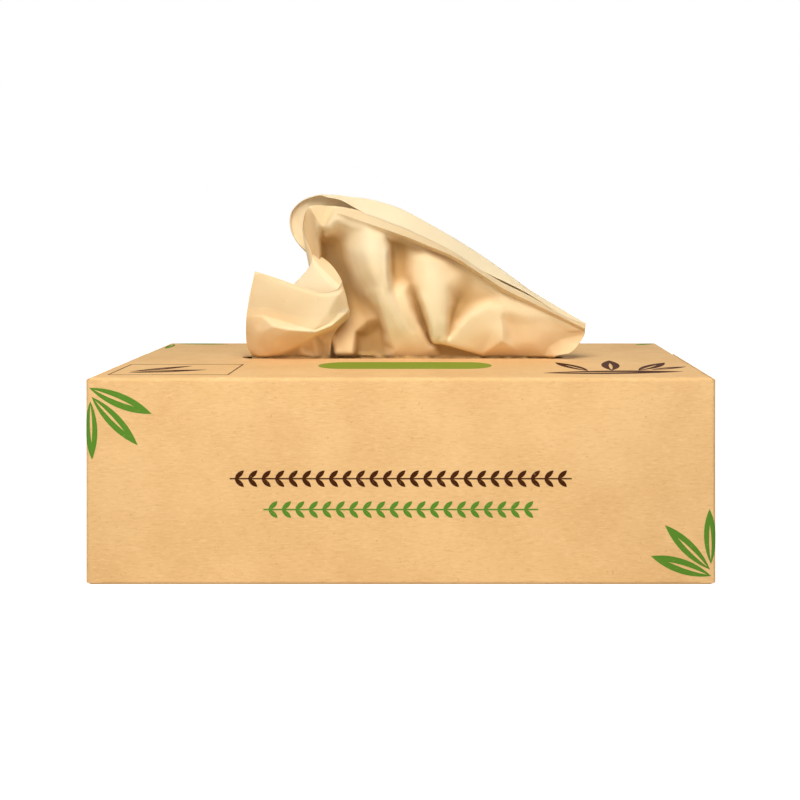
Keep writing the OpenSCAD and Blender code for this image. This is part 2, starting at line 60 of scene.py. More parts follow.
# %% [markdown]
# ## The camera
# The photograph was taken from the front, a little above the box, with the front panel square to the
# view. A camera tilted down at the box would make its upright edges lean. This one looks level, and its
# frame is shifted down and to the left instead, so upright edges stay upright.

# %% Place the camera
view_point = (0.0197, -0.4582, 0.1298)
sensor_width = 36
focal_length = 50.56
frame_shift = (-0.070, -0.2234)
camera_data = bpy.data.cameras.new("camera")
camera = bpy.data.objects.new("camera", camera_data)
bpy.context.scene.collection.objects.link(camera)
camera.location = view_point
camera.rotation_euler = (math.radians(90), 0, 0)
camera_data.sensor_width = sensor_width
camera_data.lens = focal_length
camera_data.shift_x, camera_data.shift_y = frame_shift
camera_data.clip_start = 0.01
camera_data.clip_end = 20
bpy.context.scene.camera = camera
print("camera stands", round(-view_point[1], 3), "m in front of the box's middle")

# %% [markdown]
# ## Lines along the tissue
# A tissue that is pulled up keeps its own width, so each level of it is a wavy line of the same length.
# A cloth simulation would find folds of its own. Here the lines are set at places measured in
# the photograph, and run along the sheet from the corner of its front flap to its right tip. Each place
# is a length along the sheet and then x, y and the height over the top panel, all in millimetres.

# %% Free edge of the sheet, and edge and bend of its back leaf
rim_line = [
    (0, -61, -7, 35.6), (12, -52, -9, 33), (25, -41, -10, 29.2), (34, -33, -9.6, 27.2),
    (40, -27.5, -8, 28.2), (45, -26.4, -4, 31), (52, -29.6, 0.6, 36), (58, -33.6, 3, 39.8),
    (66, -39.4, 3, 44), (72, -41.2, -1, 49), (78, -41.6, -6.4, 56), (84, -39, -8, 61.6),
    (92, -32, -5.6, 62), (100, -25.5, -4.4, 61.4), (106, -20, -4, 60.2), (114, -12.5, -4.4, 57.4),
    (127, -0.5, -4.4, 53), (137, 8.4, -4.4, 49), (148, 19, -4.4, 43.6), (161, 30, -4.6, 36.2),
    (172, 38.5, -4.4, 31), (184, 49.5, -4, 25.6), (197, 61, -4, 19), (206, 69, -4, 15.4), (210, 72.2, -4, 14),
]
far_rim_line = [
    (0, -61, -6.4, 35.6), (12, -52, -8.4, 33), (25, -41, -9.4, 29.2), (34, -33, -8.8, 27.4),
    (40, -27.6, -7.4, 28.6), (45, -26.8, -3.2, 31.4), (52, -30.2, 1.6, 36.4), (58, -34.6, 4.2, 40.2),
    (66, -43, 4.6, 44.6), (72, -47.6, 4, 51), (78, -48, 3, 59), (84, -43.4, 2, 64),
    (92, -36.2, 0.6, 66.4), (97, -32.2, -1, 65.5), (102, -27, -3, 64.4), (108, -20.6, -4.4, 61),
    (113, -16, -5, 58.2), (127, -2.4, -5.2, 53.2), (137, 8.4, -5.2, 48.7), (148, 19, -5.2, 43.3),
    (161, 30, -5.4, 36), (168, 35.6, -5, 33.2), (176, 42.4, -4.6, 30), (184, 49.5, -4.4, 26.2),
    (197, 61, -4.6, 18.8), (206, 69, -4.5, 15.2), (210, 72.2, -4.2, 14),
]
far_ridge_line = [
    (0, -61, -6, 35.4), (12, -52, -8, 32.8), (25, -41, -9, 29), (34, -33.2, -8.4, 27.2),
    (40, -27.8, -7, 28.4), (45, -27.2, -2.8, 31.2), (52, -30.8, 2.2, 36), (58, -35.4, 5, 39.6),
    (66, -43.6, 6, 44.4), (72, -48.2, 5.6, 51.4), (78, -48.4, 5, 58.8), (84, -44, 4, 64),
    (92, -37, 3.4, 66.7), (97, -32, 3.8, 66.9), (106, -24, 4, 66.4), (114, -15.6, 4, 65.5),
    (127, -3, 4, 61.6), (137, 10, 4, 54.6), (148, 20.6, 3.4, 48.4), (161, 31, 2.4, 41.8),
    (172, 40, 1, 35.3), (184, 50, -0.6, 28), (197, 61, -2.4, 21.3),
    (206, 69, -3.4, 16.4), (210, 72.3, -3.6, 14.6),
]
sheet_width = rim_line[-1][0]
print("the free edge has", len(rim_line), "places over", sheet_width, "mm")

# %% Lines below the free edge, down to the slot
crease_line = [
    (0, -63, -8, 26), (12, -54, -10.4, 25), (25, -42, -12, 22), (34, -31, -11.4, 21),
    (40, -25.4, -8.4, 22), (45, -24.4, -5.4, 24.6), (52, -30.6, -4.4, 29), (60, -36.6, -1.6, 34),
    (66, -39.2, 0.6, 38.2), (72, -39.4, 1.4, 41), (78, -42.2, -2.4, 49.6), (84, -38.8, -8.4, 60.4),
    (88, -36, -8, 56.6), (91, -33.4, -7.6, 53.6), (94, -31, -8.6, 56.6), (97, -28.4, -9.6, 59),
    (106, -20, -10, 56.5), (114, -12.6, -10, 54), (127, -0.5, -9.6, 49.8), (137, 8.4, -9.4, 46.2),
    (148, 19, -9, 41.6), (161, 30, -8.4, 34.6), (172, 38.5, -8, 29), (184, 49.5, -7, 23.6),
    (197, 61, -6, 18), (206, 68.6, -5.4, 14.2), (210, 71.8, -5, 12.6),
]
middle_line = [
    (0, -64.5, -7, 16), (12, -56, -9, 17), (25, -42, -11, 13), (34, -30, -9, 16),
    (40, -24, -5.4, 17), (45, -25.4, -1.6, 18), (52, -38, -1, 19), (60, -50, 0.8, 22),
    (66, -50.6, 4.6, 24), (72, -43, 8.6, 25), (78, -38.6, 10.4, 25), (84, -37, 11, 24), (90, -33, 7, 24),
    (97, -26, 3, 24), (103, -21, -3, 24), (108, -16.5, -6, 25), (113, -12, -10.6, 26), (118, -8, -10.6, 26.4),
    (122, -5, -5, 27), (127, -1, -6, 27), (131, 3, -2.6, 27),
    (135, 6.4, -8, 27), (140, 11, -10, 26.4), (146, 15.6, -7.4, 25),
    (150, 19.4, -1.6, 24), (156, 24, -2.4, 23), (162, 29, -4, 21.4),
    (168, 34.6, -6.4, 19.4), (176, 41, -6.4, 16.5), (186, 49, -5.6, 13), (197, 59.6, -5, 11),
    (206, 67.6, -4.4, 9.6), (210, 71.4, -3.4, 9.2),
]
low_line = [
    (0, -65, -3, 6), (12, -58, -4, 7), (25, -47, -5, 6), (34, -38, -4, 8),
    (40, -31, -3, 10), (45, -31, 1, 9), (52, -37, 4, 9), (60, -43, 7, 9),
    (66, -45, 9, 9), (72, -43, 10, 9), (78, -39, 9, 9), (84, -34.5, 3, 9), (90, -29, -0.6, 9),
    (97, -23.4, -1, 9), (101, -20.4, 4.6, 9), (107, -16, 5, 9), (112, -11.4, 2, 9), (117, -7, -3.6, 9),
    (123, -2.4, -4.8, 9), (129, 3, -4, 9), (134, 7.6, 1.4, 9), (138, 11, -6, 8.6), (143, 14.6, -6.6, 8.4),
    (147, 17.6, -3, 8.2), (152, 21.4, -5, 8), (160, 28, -5.6, 8),
    (168, 34, -6.2, 7.6), (176, 40, -4.4, 6.8), (186, 47, -4, 5.6), (197, 55, -3.4, 4.2),
    (206, 62.4, -2.8, 3.2), (210, 65.6, -2, 2.8),
]
slot_line = [
    (0, -63.5, -0.2, 0), (12, -57, -0.4, 0), (25, -46, -0.4, 0), (34, -38, -0.1, 0),
    (40, -33, 1.4, 0), (45, -32, 3, 0), (52, -36, 4.4, 0), (60, -42, 5.4, 0),
    (66, -45, 6.2, 0), (72, -43, 6.8, 0), (78, -38, 7.4, 0), (84, -33, 7.6, 0),
    (90, -29, 7.6, 0), (97, -24, 7.4, 0), (103, -20, 7.8, 0), (109, -16, 7, 0),
    (114, -12, 3.6, 0), (120, -7, 1.2, 0), (127, -2, -0.3, 0), (134, 3, -0.3, 0),
    (141, 9, 0.2, 0), (147, 14, 0.6, 0), (153, 19, 0.2, 0), (160, 25, -0.3, 0),
    (170, 33, 0.5, 0), (180, 41, 0.5, 0), (190, 48, 0.5, 0), (200, 55, 0.8, 0),
    (206, 58.4, 1.2, 0), (210, 60, 1.8, 0),
]
print("the slot line has", len(slot_line), "places")

# %% [markdown]
# ## From lines to a surface
# A loft reads every line at the same steps along the sheet and then runs a smooth curve from the slot up
# through the lines. Blender's own loft tools want curves with equal points. A few lines of array code do the
# same and keep the sheet's own length and height at each point, which its finish needs later.

# %% Read smooth curves through places
def smooth_curve(knots, values, steps):
    """Cubic curve through values at knots, read at steps. Values may have any number of further axes."""
    knots = np.asarray(knots, float)
    values = np.asarray(values, float)
    before = np.maximum(np.arange(len(knots)) - 1, 0)
    after = np.minimum(np.arange(len(knots)) + 1, len(knots) - 1)
    shape = (-1,) + (1,) * (values.ndim - 1)
    slopes = (values[after] - values[before]) / (knots[after] - knots[before]).reshape(shape)
    span = np.clip(np.searchsorted(knots, steps, side="right") - 1, 0, len(knots) - 2)
    width = (knots[span + 1] - knots[span]).reshape(shape)
    t = ((np.asarray(steps) - knots[span]) / (knots[span + 1] - knots[span])).reshape(shape)
    return (
        (2 * t**3 - 3 * t**2 + 1) * values[span]
        + (t**3 - 2 * t**2 + t) * width * slopes[span]
        + (3 * t**2 - 2 * t**3) * values[span + 1]
        + (t**3 - t**2) * width * slopes[span + 1]
    )


def read_line(line, steps, corner=None):
    """Reads x, y and height of a line at steps. A line may have one sharp corner, at one of its places."""
    places = np.asarray(line, float)
    if corner is None:
        return smooth_curve(places[:, 0], places[:, 1:], steps)
    cut = int(np.searchsorted(places[:, 0], corner))
    before = smooth_curve(places[:cut + 1, 0], places[:cut + 1, 1:], steps)
    after = smooth_curve(places[cut:, 0], places[cut:, 1:], steps)
    return np.where(np.asarray(steps)[:, None] <= corner, before, after)


def ease(low, high, value):
    """Goes smoothly from 0 at low to 1 at high."""
    share = np.clip((value - low) / (high - low), 0, 1)
    return share * share * (3 - 2 * share)


print("middle of the free edge:", np.round(read_line(rim_line, [sheet_width / 2])[0], 1))

# %% Steps along the sheet and up it
flap_columns = 130
panel_columns = 225
# where the main panel starts, and where the free edge of the flap has its sharp corner
panel_start = 86
flap_corner = 40
along = np.concatenate([
    np.linspace(0, flap_corner, flap_columns // 2 + 1)[:-1],
    np.linspace(flap_corner, panel_start, flap_columns - flap_columns // 2 + 1)[:-1],
    np.linspace(panel_start, sheet_width, panel_columns + 1),
])
along_steps = len(along) - 1
# how far up the sheet each line lies, and the rows below and above the crease under the free edge
guide_rise = [0, 3.2, 11, 31, 51, 60]
crease_row = 86
rim_rows = 14
up = np.concatenate([
    np.linspace(0, guide_rise[4], crease_row + 1),
    np.linspace(guide_rise[4], guide_rise[5], rim_rows + 1)[1:],
])
print("the sheet is read at", len(along), "places along and", len(up), "up")

# %% Gather the sheet in the slot
board = 0.5
slot_entry = -2.5 * board
slot_exit = 1.2
gather_width = 8.3
gather_depth = 0.35


def gathers(strength):
    """Small folds where the sheet is squeezed into the slot, deeper in some places than in others."""
    turn = 2 * math.pi * along / gather_width
    push = np.zeros((len(along), 3))
    push[:, 1] = strength * gather_depth * (np.sin(turn) + 0.6 * np.sin(turn / 0.61 + 1.3))
    return push


print("gathers reach", round(float(gathers(1)[:, 1].max()), 2), "mm out of the slot line")

# %% Loft the part above the slot
in_slot = read_line(slot_line, along)
guides = np.array([
    in_slot + gathers(1) + (0, 0, slot_entry),
    in_slot + gathers(1) + (0, 0, slot_exit),
    read_line(low_line, along) + gathers(0.6),
    read_line(middle_line, along),
    read_line(crease_line, along),
    read_line(rim_line, along, flap_corner),
])
rounded = smooth_curve(guide_rise, guides, up)
below = smooth_curve(guide_rise[:5], guides[:5], up[:crease_row + 1])
share = ((up[crease_row + 1:] - guide_rise[4]) / (guide_rise[5] - guide_rise[4]))[:, None, None]
creased = np.concatenate([below, guides[4] * (1 - share) + guides[5] * share])
# the flap runs smoothly up to its free edge, and the main panel is creased below it
crease_share = ease(panel_start - 6, panel_start, along)[None, :, None]
upper = np.transpose(rounded * (1 - crease_share) + creased * crease_share, (1, 0, 2))
print("upper part has", upper.shape[0], "by", upper.shape[1], "points")

# %% [markdown]
# ## The folds
# A tissue that has been folded and pulled is made of flat and gently curved facets that meet at
# ridges and dales. Sculpting could draw them, but not at measured places. Each line here runs along one
# ridge or dale of the front. It has a softness, from 0 for a crisp crease to 1 for a soft swell, and
# then places as x, height over the top panel and y. Straight facets are stretched between the lines and
# then rounded by their softness.

# %% Ridges and dales of the main panel
panel_lines = [
    # groove close below the crease under the free edge
    (0.3, [(-41, 59, -7.4), (-38.5, 57.5, -7), (-35.5, 52.5, -6), (-33.2, 50.6, -5.4), (-31, 53, -7.6),
           (-28, 56.4, -9), (-24, 55, -8.2), (-17, 52.8, -8.6), (-9, 50.2, -7.4), (-3, 47.6, -4),
           (7, 44, -4.6), (17, 39.8, -4), (27.5, 33.4, -4.4), (37.5, 26.8, -4.8), (48, 21.8, -5),
           (58, 16.9, -4.6), (70, 11.4, -4)]),
    # frame above the net, so that its top edge keeps its depth
    (1, [(-46, 78, -7.4), (-30, 78, -9.4), (-9, 72, -9), (7, 64, -5), (27, 54, -5), (48, 46, -5),
         (80, 46, -4)]),
    # outer edge of the net on the left, which the flap hides
    (1, [(-46, 60, -6), (-44, 42, 8), (-44, 20, 11), (-40, 0, 8)]),
    # dark facet beside the free edge, down to the deep dale
    (0.3, [(-40.6, 55, -6.5), (-40, 50, -5), (-38.6, 45, -2)]),
    (0.3, [(-34.8, 52, 1), (-34.6, 47, 4.5), (-34, 41, 6.5), (-33, 34, 7), (-32, 26, 6)]),
    # right side of the deep dale
    (1, [(-31.4, 48.6, 2), (-30.8, 42, 5), (-29, 34, 6), (-27, 26, 6)]),
    (1, [(-27.4, 49, -1), (-27, 42, 1), (-25, 34, 2.6), (-23.6, 27, 3.4)]),
    # crown of the broad hill
    (1, [(-22, 50, -5.4), (-22.4, 43, -5), (-20, 35, -4), (-17, 29.6, -3.6)]),
    (1, [(-16.4, 49.4, -9.2), (-16, 43, -12), (-13.8, 35, -11.6), (-11.4, 29, -10)]),
    (1, [(-11, 48.4, -9.6), (-10, 42, -12), (-9.4, 35, -12), (-8.4, 28.6, -11.2), (-6.6, 23.6, -10.2),
         (-3.6, 16.4, -7.8), (1.2, 9.6, -4.6), (6.4, 4, -2.2)]),
    # sharp right side of the hill
    (0.15, [(-8.6, 48.4, -7), (-7.9, 42.4, -10.4), (-7.7, 36, -11), (-7, 30.6, -9.8)]),
    # dale right of the hill
    (0.4, [(-6.2, 47, -1.5), (-6, 41.4, -0.4), (-6, 35.4, -0.8), (-5.6, 30.6, -3.4), (-5, 27, -5.4)]),
    (0.8, [(-2.8, 46, -1.2), (-2.6, 40, -1), (-1.8, 34, -2)]),
    # small hill that runs down from the dale
    (0.3, [(-3.6, 30.2, -5), (-1.6, 27.8, -6.4), (0.2, 22.4, -6.6), (3, 16.2, -5.6), (6.4, 10, -4),
           (9.4, 4.6, -2.4)]),
    (0.4, [(-4.2, 24, -6.4), (-2, 18, -6), (1.4, 12, -4.4)]),
    # deep dale with a sharp right side
    (0.2, [(0.8, 31, -3.4), (3, 24.4, -1.4), (5.2, 17.6, 0.4), (7.2, 11.6, 1.8), (9, 6.8, 2.4)]),
    # sharp left side of the middle ridge
    (0.7, [(2.4, 41, -5), (3.4, 35.4, -6.4), (4.8, 29.8, -7.6)]),
    (0.1, [(4.8, 29.8, -7.6), (6.6, 24.4, -8.6), (8.6, 18, -8.8), (10.1, 12.4, -8.2), (10.8, 7.4, -6.6)]),
    # crown of the middle ridge
    (1, [(8, 41.6, -7.4), (9.8, 33.4, -9.2), (11.4, 24.6, -10), (12.6, 16.4, -9.4), (13.4, 8, -7)]),
    # right side of the middle ridge, down to the pinch
    (0.8, [(14.4, 38.4, -6.4), (15.4, 30.6, -8), (15.8, 22.6, -8.4)]),
    (0.2, [(15.8, 22.6, -8.4), (15.9, 14.6, -7.8), (16.1, 8.2, -6)]),
    # dale that opens upwards from the pinch
    (0.3, [(16.8, 9.6, -2), (18, 15.4, -0.6), (20.2, 22, -0.8)]),
    (0.9, [(20.2, 22, -0.8), (23.6, 28.4, -2), (23, 35, -3.6)]),
    # upper edge of the right facet
    (0.15, [(16.5, 7.8, -5.4), (21, 13, -6), (26, 18, -6.6), (32.2, 21, -6.8)]),
    (0.7, [(32.2, 21, -6.8), (39, 20.4, -6.6), (47, 18.2, -6.4)]),
    (0.5, [(21.8, 17.4, -2.4), (27.6, 23.2, -2.6), (34, 24.8, -3.6)]),
    # body of the right facet, its lower edge and its dent
    (1, [(25, 9, -5), (33, 13, -6)]),
    (0.1, [(10.8, 7.2, -6.4), (13.4, 6.8, -6), (16.1, 6.1, -5.2), (23.2, 3.9, -3.6), (30.4, 1.7, -2)]),
    (0.1, [(10.6, 5.8, 0.6), (13.4, 5.6, 1), (16.3, 4.9, 1), (23.3, 2.8, 0.8), (30.4, 0.9, 0.4)]),
    (0.2, [(37.6, 17, -6.6), (38.2, 12.4, -7), (38.4, 8, -6.4)]),
    (0.6, [(40.6, 15, -4), (42, 11, -3.6), (42.4, 7, -3.4), (45.4, 3, -2)]),
    (0.8, [(49, 14, -5), (49.6, 7, -4)]),
    # crease of the lower right corner, and the corner turned towards the front
    (0.1, [(55.6, 1.4, -1.6), (57.4, 5, -2.6), (61.8, 7.8, -3), (70.6, 9.8, -3)]),
    (0.3, [(59.4, 1.4, -3.6), (64.6, 1.6, -5.4), (67.6, 4.4, -5.4), (72, 8.6, -3.8)]),
    (0.3, [(57, 11.4, -4.2), (64, 11.2, -3.4), (70.4, 11, -3.2)]),
    # left of the cave: the sheet behind the flap and its upright edge
    (0.8, [(-23, 23.6, 3.4), (-25.6, 13.6, 2), (-29.6, 5.6, 1)]),
    (0.1, [(-21.8, 10.4, 0.8), (-22.2, 5.6, 0.2), (-22.4, 1.6, 0.2)]),
    # lower left facet and its tail
    (0.8, [(-19, 25, 1), (-16, 22, 0.6), (-12.4, 19.6, -1)]),
    (0.2, [(-12.6, 28, -8.6), (-10.6, 22.2, -8), (-9, 16.2, -6), (-7.2, 9, -3.6), (-4.8, 3.2, -1.4)]),
    # cave
    (0.2, [(-20.8, 11.6, 1), (-16.4, 15.4, 0.6), (-11.6, 16.6, -0.8)]),
    (0.3, [(-20.4, 8.8, 5), (-20.6, 3, 6), (-17, 0.6, 6.4)]),
    (0.4, [(-16, 9, 5), (-15, 3, 5.6)]),
    (0.3, [(-11.4, 12, 2.6), (-10.6, 5.4, 2.6), (-9.6, 1, 2)]),
    # foot of the net
    (0.4, [(-34, 1.6, 1.4), (-29, 1.8, 0), (-24.6, 1.4, 0.2)]),
    (0.3, [(-38, 0, 3), (-28, 0.4, 4.6), (-22, 0.4, 6)]),
    (0.4, [(-8, 0, 1.2), (-2, 0, 0.6), (6, 0, 0.4), (14, 0, 0.8), (24, 0, 0.6)]),
    (0.4, [(31, 0, 0.4), (46, 0, 0), (55.6, 0, -0.8), (64, 0, -3.6), (76, 0, -4)]),
    (0.4, [(76, 8, -4), (78, 30, -4)]),
]
print(len(panel_lines), "ridges and dales on the main panel")

# %% Ridges and dales of the flap
flap_lines = [
    # left edge and the frame around the net
    (0.5, [(-70, 40, -7), (-70, 20, -7), (-70, 0, 0.8)]),
    (0.5, [(-60.4, 35.4, -7), (-52, 32.8, -9), (-41, 29, -10), (-33, 27, -9.6), (-27.5, 28, -8),
           (-20, 28, -4)]),
    (0.8, [(-63, 26, -7.6), (-64.6, 18, -7.4), (-64, 10, -5), (-65, 3, -2)]),
    # upper face
    (1, [(-56, 26, -8.6), (-47, 23, -9.8), (-39, 20.6, -10.2)]),
    # shelf across the flap: the dale above it and the ridge below it, round to the curl
    (0, [(-57.8, 18.4, -8.6), (-50.6, 16.4, -9), (-42.8, 13.9, -9.8), (-36.6, 12.4, -10.2), (-30.6, 15, -9),
         (-26.4, 20, -6.8)]),
    (0, [(-57.4, 17.6, -9.2), (-52.8, 14.2, -12), (-46.6, 13, -12.6), (-40, 12.4, -11.8), (-36.2, 11.6, -11),
         (-30.2, 14, -9.8), (-24.6, 18.6, -6.6), (-23.4, 21.4, -5)]),
    # crease from the corner of the free edge down to the shelf
    (0, [(-27, 27.6, -8.8), (-31, 20.2, -10.2), (-36, 13.4, -10.6)]),
    (0.5, [(-24.6, 25, -6.4), (-27, 20.6, -7.4)]),
    # lower face and its lower edge
    (0.8, [(-60, 10, -7.4), (-52, 8, -8.6), (-44.6, 9, -9)]),
    (0, [(-61, 1.6, -2.6), (-56.4, 1.6, -2.8), (-49.8, 3, -4), (-44.8, 5.8, -5.6), (-37.4, 10.6, -9)]),
    # pleats below and behind that edge
    (0.1, [(-60, 0, 0.2), (-55, 0.6, -0.6), (-49.4, 1.8, -1.2), (-45, 4.2, -1.8), (-42.8, 5.6, -3.6),
           (-37.8, 9, -5)]),
    (0.2, [(-45.6, 1, 0.2), (-42.4, 2.4, -2.6), (-39.8, 4, -1), (-37, 5, -3), (-35, 6, -0.4),
           (-33.4, 7, -2.6)]),
    (0.3, [(-44, 0, 0.8), (-36.6, 0, -0.4), (-34.8, 0, 1.6), (-30, 0, 1.4)]),
    # underside of the curl
    (0.2, [(-37, 9.4, -3), (-35.6, 9.6, -2.6), (-29.6, 12.2, -2.4), (-24, 16, -1.4), (-22, 19, -1)]),
    (0.6, [(-31, 6, -1.2), (-24, 6, -0.6), (-20, 12, 0)]),
    (0.6, [(-24, 0, 3), (-18, 0, 4), (-18, 28, 0)]),
]

print(len(flap_lines), "ridges and dales on the flap")

# %% Blur a grid of depths
cell = 0.25


def gaussian(grid, width):
    """Blurs a grid of cells by a width in millimetres."""
    reach = int(3 * width / cell) + 1
    kernel = np.exp(-0.5 * (np.arange(-reach, reach + 1) * cell / width) ** 2)
    kernel /= kernel.sum()
    for axis in (0, 1):
        padded = np.pad(grid, [(reach, reach) if a == axis else (0, 0) for a in (0, 1)], mode="edge")
        grid = sum(
            weight * np.take(padded, range(k, k + grid.shape[axis]), axis=axis)
            for k, weight in enumerate(kernel)
        )
    return grid


print("the folds are drawn on cells of", cell, "mm")

# %% Round a grid of depths by its softness
crisp_blur = 0.2
middle_blur = 0.9
soft_blur = 1.9


def round_by_softness(depth, softness):
    """Blurs little where softness is 0 and most where it is 1."""
    half_way = np.clip(softness * 2, 0, 1)
    full_way = np.clip(softness * 2 - 1, 0, 1)
    crisp = gaussian(depth, crisp_blur)
    middle = gaussian(depth, middle_blur)
    soft = gaussian(depth, soft_blur)
    return (crisp * (1 - half_way) + middle * half_way) * (1 - full_way) + soft * full_way


print("a crisp crease is", crisp_blur, "mm round, and a soft swell", soft_blur, "mm")

# %% Stretch facets between the lines
from mathutils import Vector
from mathutils.geometry import delaunay_2d_cdt

slack = 1e-6


def net_of_facets(lines):
    """Corners of the facets between the lines, their facets, and y and softness at each corner."""
    places = []
    edges = []
    for softness, line in lines:
        for k, (x, z, y) in enumerate(line):
            places.append((x, z, y, softness))
            if k:
                edges.append((len(places) - 2, len(places) - 1))
    found = delaunay_2d_cdt([Vector(place[:2]) for place in places], edges, [], 0, 0.001)
    corners, _, facets, sources = found[:4]
    crossed = [tuple(round(v, 1) for v in corner) for corner, source in zip(corners, sources) if not source]
    print("facets:", len(facets), "places where two lines cross:", crossed)
    values = np.array([places[source[0]][2:] if source else (0, 0.5) for source in sources])
    return corners, facets, values


def fill_facet(grid, low, corners, values):
    """Writes into the cells inside one facet what its three corners give there."""
    a, b, c = corners
    least = np.floor((np.minimum(np.minimum(a, b), c) - low) / cell).astype(int).clip(0)
    most = np.ceil((np.maximum(np.maximum(a, b), c) - low) / cell).astype(int) + 1
    columns = np.arange(least[0], min(most[0], grid.shape[0]))
    rows = np.arange(least[1], min(most[1], grid.shape[1]))
    i, j = np.meshgrid(columns, rows, indexing="ij")
    x = low[0] + i * cell
    z = low[1] + j * cell
    whole = (b[0] - a[0]) * (c[1] - a[1]) - (c[0] - a[0]) * (b[1] - a[1])
    of_b = ((x - a[0]) * (c[1] - a[1]) - (c[0] - a[0]) * (z - a[1])) / whole
    of_c = ((b[0] - a[0]) * (z - a[1]) - (x - a[0]) * (b[1] - a[1])) / whole
    inside = (of_b >= -slack) & (of_c >= -slack) & (of_b + of_c <= 1 + slack)
    shares = (1 - of_b - of_c, of_b, of_c)
    value = sum(share[..., None] * corner for share, corner in zip(shares, values))
    grid[i[inside], j[inside]] = value[inside]


# %% Make a sheet of facets rounded and deep enough
# reach of a small fold and of a broad one, and how much deeper than drawn the folds are
small_fold = 4
broad_fold = 11
relief = 1.25
softness_blur = 0.6


def stretch_facets(lines, low, high):
    """Grids between the low and high corners: the depth, and the painted shade of each cell, from how far in
    a fold it lies.
    """
    corners, facets, values = net_of_facets(lines)
    columns = int((high[0] - low[0]) / cell) + 1
    rows = int((high[1] - low[1]) / cell) + 1
    grid = np.full((columns, rows, 2), np.nan)
    for facet in facets:
        fill_facet(grid, low, [np.array(corners[n]) for n in facet], [values[n] for n in facet])
    held = ~np.isnan(grid[..., 0])
    depth = np.where(held, grid[..., 0], 0)
    softness = gaussian(np.where(held, grid[..., 1], 0.5), softness_blur)
    rounded = round_by_softness(depth, softness)
    without_small = gaussian(rounded, small_fold)
    without_broad = gaussian(without_small, broad_fold)
    # painted shade measure: how far each cell lies below its small and its broad surroundings
    fold = 0.7 * (rounded - without_small) + 0.5 * (without_small - without_broad)
    return without_broad + relief * (rounded - without_broad), fold


def read_grid(grid, low, x, z):
    """Reads a grid of cells between its corners."""
    i = np.clip((x - low[0]) / cell, 0, grid.shape[0] - 1.001)
    j = np.clip((z - low[1]) / cell, 0, grid.shape[1] - 1.001)
    i0 = i.astype(int)
    j0 = j.astype(int)
    a = i - i0
    b = j - j0
    return (
        grid[i0, j0] * (1 - a) * (1 - b) + grid[i0 + 1, j0] * a * (1 - b)
        + grid[i0, j0 + 1] * (1 - a) * b + grid[i0 + 1, j0 + 1] * a * b
    )


# %% Push the main panel into its facets
panel_low = np.array([-46.0, 0.0])
panel_high = np.array([76.0, 62.0])
panel_depth, panel_fold = stretch_facets(panel_lines, panel_low, panel_high)
x_view = upper[:, :, 0]
z_view = upper[:, :, 2]
near_slot = ease(0, 0.9, z_view)
below_crease = upper[:, crease_row:crease_row + 1, 2] - z_view
in_panel = (
    ease(panel_start, panel_start + 4, along)[:, None]
    * ease(0.1, 1.6, below_crease)
    * (np.arange(len(up)) < crease_row)
)
panel_y = read_grid(panel_depth, panel_low, x_view, z_view)
upper[:, :, 1] += in_panel * near_slot * (panel_y - upper[:, :, 1])
print("main panel lies from y", round(float(panel_y.min()), 1), "to", round(float(panel_y.max()), 1), "mm")

# %% Push the flap into its facets
flap_low = np.array([-70.0, 0.0])
flap_high = np.array([-18.0, 40.0])
flap_depth, flap_fold = stretch_facets(flap_lines, flap_low, flap_high)
below_rim = upper[:, -1:, 2] - z_view
in_flap = (1 - ease(flap_corner, flap_corner + 5, along))[:, None] * ease(0, 1.6, below_rim)
flap_y = read_grid(flap_depth, flap_low, x_view, z_view)
upper[:, :, 1] += in_flap * near_slot * (flap_y - upper[:, :, 1])
print("flap lies from y", round(float(flap_y.min()), 1), "to", round(float(flap_y.max()), 1), "mm")

# %% Painted shade from how deep in a fold each point lies
# painted shade: the panel is darker the further it lies behind its plain front at this y, the flap is a
# little darker all over, and the foot at the slot is darker too
plain_front = -4.6
slot_shade = 2
fold = (
    in_panel * (read_grid(panel_fold, panel_low, x_view, z_view) + 0.2 * (upper[:, :, 1] - plain_front))
    + in_flap * (0.6 * read_grid(flap_fold, flap_low, x_view, z_view) + 0.5)
    + slot_shade * (1 - ease(0, 1.6, z_view))
)
print("folds reach from", round(float(fold.min()), 1), "to", round(float(fold.max()), 1), "mm")

# %% [markdown]
# ## The second leaf and the part in the box
# The sheet has plies, and near its free edge the back ply has come away from the front one. It stands
# up behind it and folds over forwards along the top. In the box the sheet lies on the pile, folds over
# at the back and comes forward again. Both parts could be meshes of their own, joined later. Here they
# are further rows of the same grid, so they start on the sheet exactly and share its steps.

# %% Add the back leaf
# row where the leaf parts from the sheet, and how much of it stands up before it bends forwards
crotch = 70
leaf_steps = 30
ridge_share = 0.66
leaf_bow = 2.5
notch_depth = 4.6
far_ridge = read_line(far_ridge_line, along, flap_corner)
far_rim = read_line(far_rim_line, along, flap_corner)
shares = np.linspace(0, 1, leaf_steps + 1)
to_ridge = np.clip(shares / ridge_share, 0, 1)[None, :, None]
to_rim = np.clip((shares - ridge_share) / (1 - ridge_share), 0, 1)[None, :, None]
leaf = upper[:, crotch:crotch + 1] * (1 - to_ridge) + far_ridge[:, None, :] * to_ridge
leaf = leaf + (far_rim - far_ridge)[:, None, :] * to_rim
# the leaf bows backwards where it is free of the sheet, and has a notch at the left under the hood
bow = np.sin(math.pi * to_ridge[:, :, 0])
apart = np.linalg.norm(far_ridge - upper[:, -1], axis=1)
leaf[:, :, 1] += leaf_bow * bow * np.minimum(1, apart / 8)[:, None]
notch = notch_depth * ease(58, 64, along) * (1 - ease(74, 82, along))
leaf[:, :, 0] += notch[:, None] * bow
for _ in range(2):
    leaf[:, 1:-1] = 0.25 * leaf[:, :-2] + 0.5 * leaf[:, 1:-1] + 0.25 * leaf[:, 2:]
print("the back leaf stands up to", round(float(apart.max()), 1), "mm clear of the free edge")

